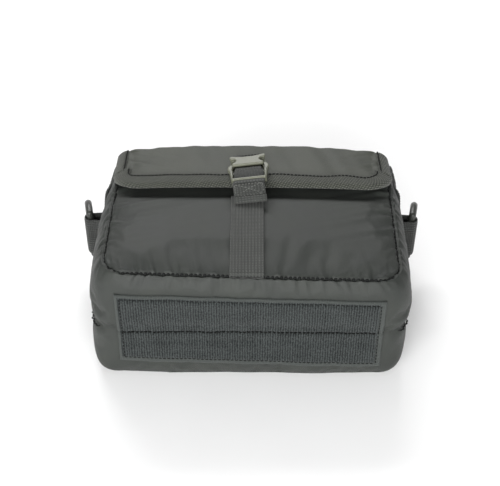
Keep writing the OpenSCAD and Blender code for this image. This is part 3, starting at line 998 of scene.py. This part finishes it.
def flap_line(pitch):
    """The flap's outer face seen from its side: up the mouth, round the bend, to the edge."""
    up = [(top_hi.y, z) for z in np.arange(hinge_low_z, fold_z, pitch)]
    turned = np.radians(np.linspace(0, 84, 12))
    bend = [
        (fold_y + FLAP_BEND * np.cos(a), fold_z + FLAP_BEND * np.sin(a)) for a in turned]
    last_y, last_z = bend[-1]
    down_rows = corner_rows(FLAP_CORNER, last_y - free_y, pitch)[::-1][1:]
    down = [
        (free_y + d, free_z + (last_z - free_z) * d / (last_y - free_y)) for d in down_rows]
    return np.array(up + bend + down)


def drooped(sheet):
    """The flap's points after its sides have sunk beside the bag's round shoulders."""
    x, y, z = sheet[..., 0], sheet[..., 1], sheet[..., 2]
    side = np.clip(np.abs(x) / flap_x, 0, 1.05) ** 3
    side += 0.45 * np.clip((np.abs(x) - flap_x + 14) / 14, 0, 1.1) ** 2
    top = np.clip((z - 60) / (depth - 60), 0, 1)
    fold = np.clip((y - free_y + 14) / (mouth_y - free_y), 0, 1)
    sink = FLAP_DROOP * side * top * (0.35 + 0.65 * fold)
    sway = 1.0 * top
    return sheet + np.stack([sway, -0.35 * sink * fold, -sink], axis=-1)


flap_side = flap_line(2.0)
flap_walk = walked_along(flap_side)
from_free = flap_walk[-1] - flap_walk
flap_half = corner_half_width(flap_x, FLAP_CORNER, from_free)
flap_across = crowded_across()
plain_flap = np.zeros((len(flap_side), len(flap_across), 3))
plain_flap[..., 0] = flap_half[:, None] * flap_across[None, :]
plain_flap[..., 1:] = flap_side[:, None, :]
flap_forward = np.gradient(flap_side, axis=0)
flap_normals = np.zeros_like(plain_flap)
flap_normals[..., 1:] = unit(flap_forward[:, ::-1] * [1, -1])[:, None, :]
flap_from_side = flap_half[:, None] * (1 - np.abs(flap_across[None, :]))
flap_from_end = from_free[:, None] * np.ones_like(flap_from_side)
inside_binding = np.minimum(flap_from_side - SIDE_TAPE, flap_from_end - FRONT_TAPE)
inside_binding = np.clip(inside_binding, 0, None)
flap_puff = 2.5 * edge_shape(inside_binding, 20) - 0.8
flap_slant = flap_walk[:, None] - 0.5 * flap_from_side
from_tape = np.clip(flap_from_side - SIDE_TAPE, 0, None)
flap_crease = puckers(flap_slant, from_tape, height=1.0, pitch=12, reach=16, seed=41)
flap_crease += ripple(plain_flap[..., 0] + 0.3 * plain_flap[..., 1], 30, 42) * 0.35
flap_crease *= np.clip(inside_binding / 5, 0, 1)
flap = plain_flap + flap_normals * (flap_puff + flap_crease)[..., None]
flap_held = inside_binding < 0.4
flap_held[0] = True
flap = drooped(settled(flap, flap_held, pressure=0.8, slack=0.01, cap=2.5))
flap_under = drooped(plain_flap * [0.997, 1, 1] - flap_normals * (FLAP_T - 0.4))
flap_piece = pad("flap_cloth", flap, flap_under)
# The flap wears the shell nylon painted about twice as light. This is a painted highlight for the
# top lamp's reflection off the flap.
flap_nylon_painted_highlight = nylon_look("flap_nylon_painted_highlight", (0.076, 0.08, 0.064), (0.042, 0.046, 0.038))
fitted(
    flap_piece, flap_nylon_painted_highlight, "shell_nylon", None, "flap_top_panel", "flap_top_foam",
    "flap_top_lining", "flap_front_panel", "flap_front_foam", "flap_front_lining")


def folds_with_flap(piece):
    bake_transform(piece)


folds_with_flap(flap_piece)

# ---- Flap binding -----------------------------------------------------------------------
# Ribbed tape is folded over the flap's edge and sewn through. One length runs up each
# side, and a wider one runs along the free edge with a slightly wavy inner line.

SEWN_AT = 0.86


def edge_band(name, rows, width_at, half_t, lift):
    """Tape folded over the flap's edge: rows hold the edge point, inward and normal."""
    loops = []
    for k, (edge, inward, normal) in enumerate(rows):
        width = width_at(k)
        loop = []
        for share in np.linspace(1, 0.1, 10):
            raised = half_t + lift * np.sin(np.pi * share) ** 0.7
            sewn_down = 0.9 * hump(share - SEWN_AT, 0.07)
            loop.append(edge + inward * width * share + normal * (raised - sewn_down))
        for turned in np.radians(np.linspace(75, -75, 7)):
            loop.append(
                edge - inward * 1.1 * np.cos(turned) + normal * half_t * np.sin(turned))
        for share in np.linspace(0.1, 1, 5):
            loop.append(edge + inward * width * share - normal * half_t)
        loops.append(loop)
    return swept(name, drooped(np.array(loops)))


def band_stitches(name, rows, width_at, half_t):
    """The row of stitches that holds the tape, just inside its inner edge."""
    path = np.array([
        edge + inward * width_at(k) * SEWN_AT + normal * (half_t + 0.15)
        for k, (edge, inward, normal) in enumerate(rows)])
    normals = np.array([normal for edge, inward, normal in rows])
    sewn = stitches(name, drooped(path), normals, pitch=3.0, length=2.2, radius=0.5)
    fitted(sewn, sewing_thread, "binding_tape")
    folds_with_flap(sewn)


def flap_edge_rows(side):
    """The flap's edge with its inward way and its normal, from the hinge to the middle."""
    column = 0 if side < 0 else -1
    down = np.column_stack([side * flap_half, flap_side])
    down = down - flap_normals[:, column] * FLAP_T / 2
    last_x, last_y, last_z = down[-1]
    in_from_corner = np.linspace(last_x, 0, int(abs(last_x) / 2.0))[1:]
    inwards = [(x, last_y, last_z) for x in in_from_corner]
    edge = np.concatenate([down, inwards])
    end_normals = np.tile(flap_normals[-1, column], (len(inwards), 1))
    normals = np.concatenate([flap_normals[:, column], end_normals])
    inward = np.cross(unit(np.gradient(edge, axis=0)), normals) * side
    return list(zip(edge, inward, normals))


left_rows = flap_edge_rows(-1)
right_rows = flap_edge_rows(1)
corner_index = int(np.argmax(from_free < FLAP_CORNER + 3))
front_rows = left_rows[corner_index:] + right_rows[corner_index:-1][::-1]
front_wave = ripple(walked_along(np.array([row[0] for row in front_rows])), 52, 51)


def front_width(k):
    return FRONT_TAPE + 0.9 + 1.1 * front_wave[k]


def side_width(k):
    return SIDE_TAPE + 0.4


front_band = edge_band(
    "flap_front_binding_tape", front_rows, front_width, half_t=2.6, lift=0.8)
fitted(front_band, binding_tape, "binding_tape", None, "flap_front_binding")
folds_with_flap(front_band)
band_stitches("flap_front_stitches", front_rows, front_width, 2.6)

for side, rows in (("left", left_rows), ("right", right_rows)):
    side_rows = rows[:corner_index + 3]
    if side == "right":
        side_rows = side_rows[::-1]
    band = edge_band(
        "flap_side_binding_tape_" + side, side_rows, side_width, half_t=2.6, lift=1.0)
    fitted(band, binding_tape, "binding_tape", None, "flap_side_binding", "flap_top_binding")
    folds_with_flap(band)
    band_stitches("flap_side_stitches_" + side, side_rows, side_width, 2.9)

# ---- Flap hinge -------------------------------------------------------------------------
# A folded strip of nylon joins the flap to the top edge of the back panel. It is sewn to
# both.

hinge_line = np.array([
    (mouth_y - 9, 0.75), (mouth_y - 4, 0.8), (mouth_y - 1, 0.85), (mouth_y + 1.5, 1.2),
    (mouth_y + 3, 2.4), (mouth_y + 3.7, 4.5), (mouth_y + 4, 7), (mouth_y + 4, 10)])
hinge_path = np.stack([0 * hinge_line[:, 0], hinge_line[:, 0], hinge_line[:, 1]], 1)
hinge_wide = 2 * flap_x - 14
hinge_piece = strip("flap_hinge_strip", hinge_path, (1, 0, 0), hinge_wide, 1.2)
# The hinge strip wears the flap's nylon with the same painted highlight.
fitted(hinge_piece, flap_nylon_painted_highlight, "shell_nylon")
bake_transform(hinge_piece)

# ---- Front strap ------------------------------------------------------------------------
# A strap of 25 mm ribbed webbing comes out of the bottom seam and lies up the middle of
# the front panel.

strap_lo, strap_hi = box_mm("front_strap")
STRAP_SHIFT = -1.0
strap_x = (strap_lo.x + strap_hi.x) / 2 + STRAP_SHIFT
strap_width = strap_hi.x - strap_lo.x + 1
strap_y = np.linspace(strap_lo.y - 1.6, strap_hi.y + 4, 120)
panel_line = front[:, int(np.argmin(np.abs(front[len(front) // 2, :, 0] - strap_x)))]
strap_z = np.interp(strap_y, panel_line[:, 1], panel_line[:, 2]) + 1.3
strap_path = np.stack([np.full_like(strap_y, strap_x), strap_y, strap_z], 1)
strap_piece = strip(
    "front_strap_web", strap_path, (1, 0, 0), strap_width, 1.7, ribs=10)
fitted(strap_piece, webbing, "webbing", "strap", "front_strap")

# ---- Buckle -----------------------------------------------------------------------------
# A 25 mm side-release buckle in grey-green acetal. The socket hangs on a webbing chape
# that is sewn to the flap. The plug is a frame with a bar for the strap's end, and its two
# round-shouldered arms catch in the open sides of the socket.

joints = {joint["name"]: joint for joint in frame["joints"]}
ARM_ROOT = (11.6, -0.5, 4.15)
arm_left = np.array(joints["prong_left_squeeze"]["pos_m"]) / MM
arm_right = np.array(joints["prong_right_squeeze"]["pos_m"]) / MM
buckle_across = unit(arm_right - arm_left)
buckle_up = -np.array(joints["plug_pull"]["axis"], float)
buckle_out = np.cross(buckle_across, buckle_up)
buckle_middle = (
    (arm_left + arm_right) / 2 - ARM_ROOT[1] * buckle_up - ARM_ROOT[2] * buckle_out)


def on_buckle(points):
    """Points from the buckle's own layout to their place on the bag."""
    points = np.asarray(points, float)
    axes = np.stack([buckle_across, buckle_up, buckle_out])
    return buckle_middle + points @ axes


def spread(outline, count=72):
    """An outline with evenly spaced points, from the one nearest straight up."""
    outline = np.asarray(outline, float)
    closed = np.concatenate([outline, outline[:1]])
    walked = walked_along(closed)
    places = np.linspace(0, walked[-1], count, endpoint=False)
    return np.stack([np.interp(places, walked, closed[:, k]) for k in (0, 1)], 1)


def drawn_in(outline, by):
    """An anticlockwise outline moved inwards by a distance."""
    ahead = unit(np.roll(outline, -1, axis=0) - np.roll(outline, 1, axis=0))
    return outline + np.stack([-ahead[:, 1], ahead[:, 0]], 1) * by


def moulded(name, outline, low, high, edge):
    """A moulded plate with rounded edges, from its outline."""
    levels = [
        (low, 0.5 * edge), (low + 0.3 * edge, 0.12 * edge), (low + 0.7 * edge, 0),
        (high - edge, 0), (high - 0.55 * edge, 0.12 * edge), (high - 0.2 * edge, 0.45 * edge),
        (high, edge)]
    outer = spread(outline)
    count = len(outer)
    rows = np.concatenate([
        np.column_stack([drawn_in(outer, by), np.full(count, z)]) for z, by in levels])
    faces = []
    for r in range(len(levels) - 1):
        for c in range(count):
            a, b = r * count + c, r * count + (c + 1) % count
            faces.append((a, b, b + count, a + count))
    faces.append(tuple(range(count))[::-1])
    faces.append(tuple(range(len(rows) - count, len(rows))))
    made = piece_of(name, on_buckle(rows), faces, rows[:, :2])
    made.data.polygons[-1].use_smooth = False
    made.data.polygons[-2].use_smooth = False
    return made


def both_sides(half):
    """A symmetric anticlockwise outline from the points of its right half, bottom to top."""
    return half + [(-x, y) for x, y in half[::-1]]


def box_outline(x, y0, y1, round_by=0.8):
    corners = ((x, y0, -90), (x, y1, 0), (-x, y1, 90), (-x, y0, 180))
    points = []
    for cx, cy, first in corners:
        middle_x = cx - math.copysign(round_by, cx)
        middle_y = cy + (round_by if first in (-90, 180) else -round_by)
        for turned in np.radians(np.linspace(first, first + 90, 5)):
            points.append((
                middle_x + round_by * math.cos(turned), middle_y + round_by * math.sin(turned)))
    return points


buckle_look = Look("buckle_plastic", Specular_IOR_Level=0.55)
buckle_spot = buckle_look.weave_place()
buckle_speck = buckle_look.cloud(buckle_spot, 0.35, 3.0)
buckle_rub = buckle_look.cloud(buckle_spot, 7, 3.0)
buckle_plastic = buckle_look.worn(
    buckle_look.mix(buckle_rub, (0.094, 0.099, 0.071), (0.162, 0.167, 0.123)),
    buckle_rub * 0.2 + 0.3, buckle_speck, 0.06)

socket_half = [
    (9.0, 4.2), (12.6, 4.4), (13.2, 5.6), (12.4, 7.0), (11.0, 8.0), (9.9, 9.3), (9.7, 10.8),
    (10.3, 12.2), (11.5, 12.9), (13.4, 12.9), (14.5, 13.6), (14.8, 15.4), (14.2, 16.8),
    (12.6, 16.9), (9.0, 16.0), (4.5, 15.2)]
socket_top = moulded("socket_top", both_sides(socket_half), 5.7, 8.2, 0.9)
socket_low = moulded(
    "socket_low", both_sides([(14.0, 0.6), (14.6, 1.4), (14.6, 15.6), (13.8, 16.4)]), 0.5, 1.9,
    0.4)
socket_back = moulded(
    "socket_back", both_sides([(12.6, 12.2), (14.0, 13.2), (14.0, 15.6), (13.0, 16.0)]),
    1.2, 6.4, 0.4)
for part in (socket_top, socket_low, socket_back):
    fitted(part, buckle_plastic, "buckle_plastic", "flap_front", "buckle_socket")

rail = [
    (12.6, -14.9), (13.7, -15.0), (14.3, -14.0), (14.6, -10), (15.2, -5.5), (15.7, -2.0),
    (15.7, -0.4), (12.6, -0.4)]
left_rail = [(-x, y) for x, y in rail[::-1]]
plug_parts = [
    moulded("plug_rail_right", rail, 1.3, 6.4, 1.0),
    moulded("plug_rail_left", left_rail, 1.3, 6.4, 1.0),
    moulded("plug_bar", box_outline(14.0, -15.3, -12.9, 0.9), 4.6, 7.3, 0.9),
    moulded("plug_cross", box_outline(13.4, -3.2, -0.6, 0.6), 1.3, 3.4, 0.6)]
for part in plug_parts:
    fitted(part, buckle_plastic, "buckle_plastic", "plug", "buckle_plug")

for side, sign in (("left", -1), ("right", 1)):
    arm = [
        (12.7, -2.2), (15.3, -2.2), (16.3, 0.4), (16.9, 2.6), (16.9, 4.6), (16.2, 6.4),
        (14.8, 7.9), (13.0, 8.8), (11.6, 9.9), (10.6, 9.8), (10.3, 8.6), (11.4, 6.6),
        (12.6, 4.0), (12.8, 0.5)]
    if sign < 0:
        arm = [(-x, y) for x, y in arm[::-1]]
    arm_piece = moulded("plug_arm_" + side, arm, 2.0, 5.6, 1.1)
    fitted(
        arm_piece, buckle_plastic, "buckle_plastic", "prong_" + side, "plug_prong_" + side)

# ---- Strap end and chape ----------------------------------------------------------------
# The strap goes through the plug's window and over its bar, and its end is folded double
# and sewn. The chape is a short webbing loop that holds the socket on the flap.

# A darker copy of the strap's webbing: painted shade for the strap end in the plug's window and
# along its tail, and for the chape under the socket.
webbing_painted_shade = webbing_look("tail_webbing_painted_shade", (0.07, 0.074, 0.067), (0.01, 0.011, 0.01))


def buckle_strip(name, line, width, thickness, ribs=10, shift=0.0, skew=0.0):
    """Webbing along a line of y and z in the buckle's layout."""
    line = np.asarray(line, float)
    walked = walked_along(line)
    places = np.linspace(0, walked[-1], max(12, int(walked[-1] / 0.7)))
    y = np.interp(places, walked, line[:, 0])
    z = np.interp(places, walked, line[:, 1])
    x = shift + skew * (y - line[0, 0])
    path = on_buckle(np.column_stack([x, y, z]))
    return strip(name, path, buckle_across, width, thickness, ribs)


def sewn_rows(name, rows, face_z, body, thread, radius=0.32):
    """Rows of stitches on a face in the buckle's layout, from their two ends."""
    for index, (start, end) in enumerate(rows):
        places = np.linspace(0, 1, 24)[:, None]
        flat = np.array(start) * (1 - places) + np.array(end) * places
        path = on_buckle(np.column_stack([flat, face_z(flat[:, 1])]))
        normals = np.tile(buckle_out, (len(path), 1))
        sewn = stitches(name + "_" + str(index), path, normals, 2.6, 1.8, radius)
        fitted(sewn, thread, "binding_tape", body)


pale_look = Look("pale_thread", Sheen_Weight=0.3)
pale_twist = pale_look.cloud(pale_look.weave_place(), 0.5)
pale_thread = pale_look.worn(
    pale_look.mix(pale_twist, (0.05, 0.054, 0.048), (0.14, 0.146, 0.13)),
    pale_twist * 0.1 + 0.6, pale_twist, 0.1)

window_web = buckle_strip(
    "window_web", [(-12.2, 3.4), (-9, 3.7), (-4, 4.5), (-1.4, 4.7)], 24.4, 1.8)
window_tip = buckle_strip(
    "window_web_tip", [(-2.4, 4.5), (0.5, 4.9), (3.0, 4.6), (3.9, 3.2)], 21.4, 1.8)
bar_web = buckle_strip(
    "bar_web", [(-12.6, 3.4), (-14.2, 3.6), (-16.2, 5.2), (-18.0, 5.8), (-19.3, 5.5)], 25.0, 2.2)
tail_line = [
    (-16.0, 3.6), (-19.5, 3.9), (-22.5, 3.0), (-25.5, 0.6), (-28.6, -2.6), (-30.2, -4.6)]
tail_web = buckle_strip("strap_tail_web", tail_line, 25.4, 3.0, shift=-0.9, skew=-0.06)
fold_web = buckle_strip(
    "strap_tail_fold", [(-28.4, -1.0), (-29.8, -2.6), (-30.6, -3.8), (-31.0, -5.2)], 26.0, 3.0,
    shift=-0.1, skew=-0.06)
# The parts over the bar and at the fold wear the strap's own webbing; the rest wear the darker copy
# with its painted shade.
for part in (window_web, window_tip, bar_web, tail_web, fold_web):
    lighter = part in (bar_web, fold_web)
    fitted(part, webbing if lighter else webbing_painted_shade, "webbing", "plug", "strap_tail")


def tail_face(y):
    line = np.array(tail_line)[::-1]
    return np.interp(y, line[:, 0], line[:, 1]) + 1.75


tail_box = [
    ((-11.8, -20.6), (10.4, -20.6)), ((-11.4, -28.0), (10.8, -28.0)),
    ((-11.8, -20.6), (-11.4, -28.0)), ((10.4, -20.6), (10.8, -28.0)),
    ((-11.8, -20.6), (10.8, -28.0)), ((10.4, -20.6), (-11.4, -28.0))]
sewn_rows("tail_stitches", tail_box, tail_face, "plug", pale_thread)

flap_line_y = flap[:, flap.shape[1] // 2, 1]
flap_line_z = flap[:, flap.shape[1] // 2, 2]


def flap_face(y):
    """Height of the flap's face in the buckle's layout."""
    place = buckle_middle[1] + y * buckle_up[1]
    surface = np.interp(place, flap_line_y[::-1], flap_line_z[::-1])
    return (surface - buckle_middle[2] - y * buckle_up[2]) / buckle_out[2]


chape_line = [(13.6, 3.2), (15.2, 4.8), (17.4, 4.4)]
chape_line += [(y, float(flap_face(y)) + rise) for y, rise in ((20, 2.6), (22.5, 2.0), (27.5, 1.7))]
chape_bend = np.array(chape_line)
chape_y = np.linspace(chape_bend[0, 0], chape_bend[-1, 0], 26)
chape_z = np.interp(chape_y, chape_bend[:, 0], chape_bend[:, 1])
chape_path = on_buckle(np.column_stack([np.zeros(26), chape_y, chape_z]))
level_across = buckle_across * [1, 1, 0]
laid_flat = np.clip((chape_y - 15) / 6, 0, 1)[:, None]
chape_across = buckle_across * (1 - laid_flat) + level_across * laid_flat
chape_web = strip("chape_web", chape_path, chape_across, 23.6, 2.2, 10)
# The chape wears the darker webbing, painted shade under the socket.
fitted(chape_web, webbing_painted_shade, "webbing", "flap_front", "buckle_chape")


def chape_face(y):
    line = np.array(chape_line)
    return np.interp(y, line[:, 0], line[:, 1]) + 1.2


sewn_rows("chape_stitches", [
    ((-10.5, 21.0), (10.5, 21.0)), ((-10.5, 26.4), (10.5, 26.4)),
    ((-10.5, 21.0), (10.5, 26.4)), ((10.5, 21.0), (-10.5, 26.4))],
    chape_face, "flap_front", sewing_thread, 0.45)
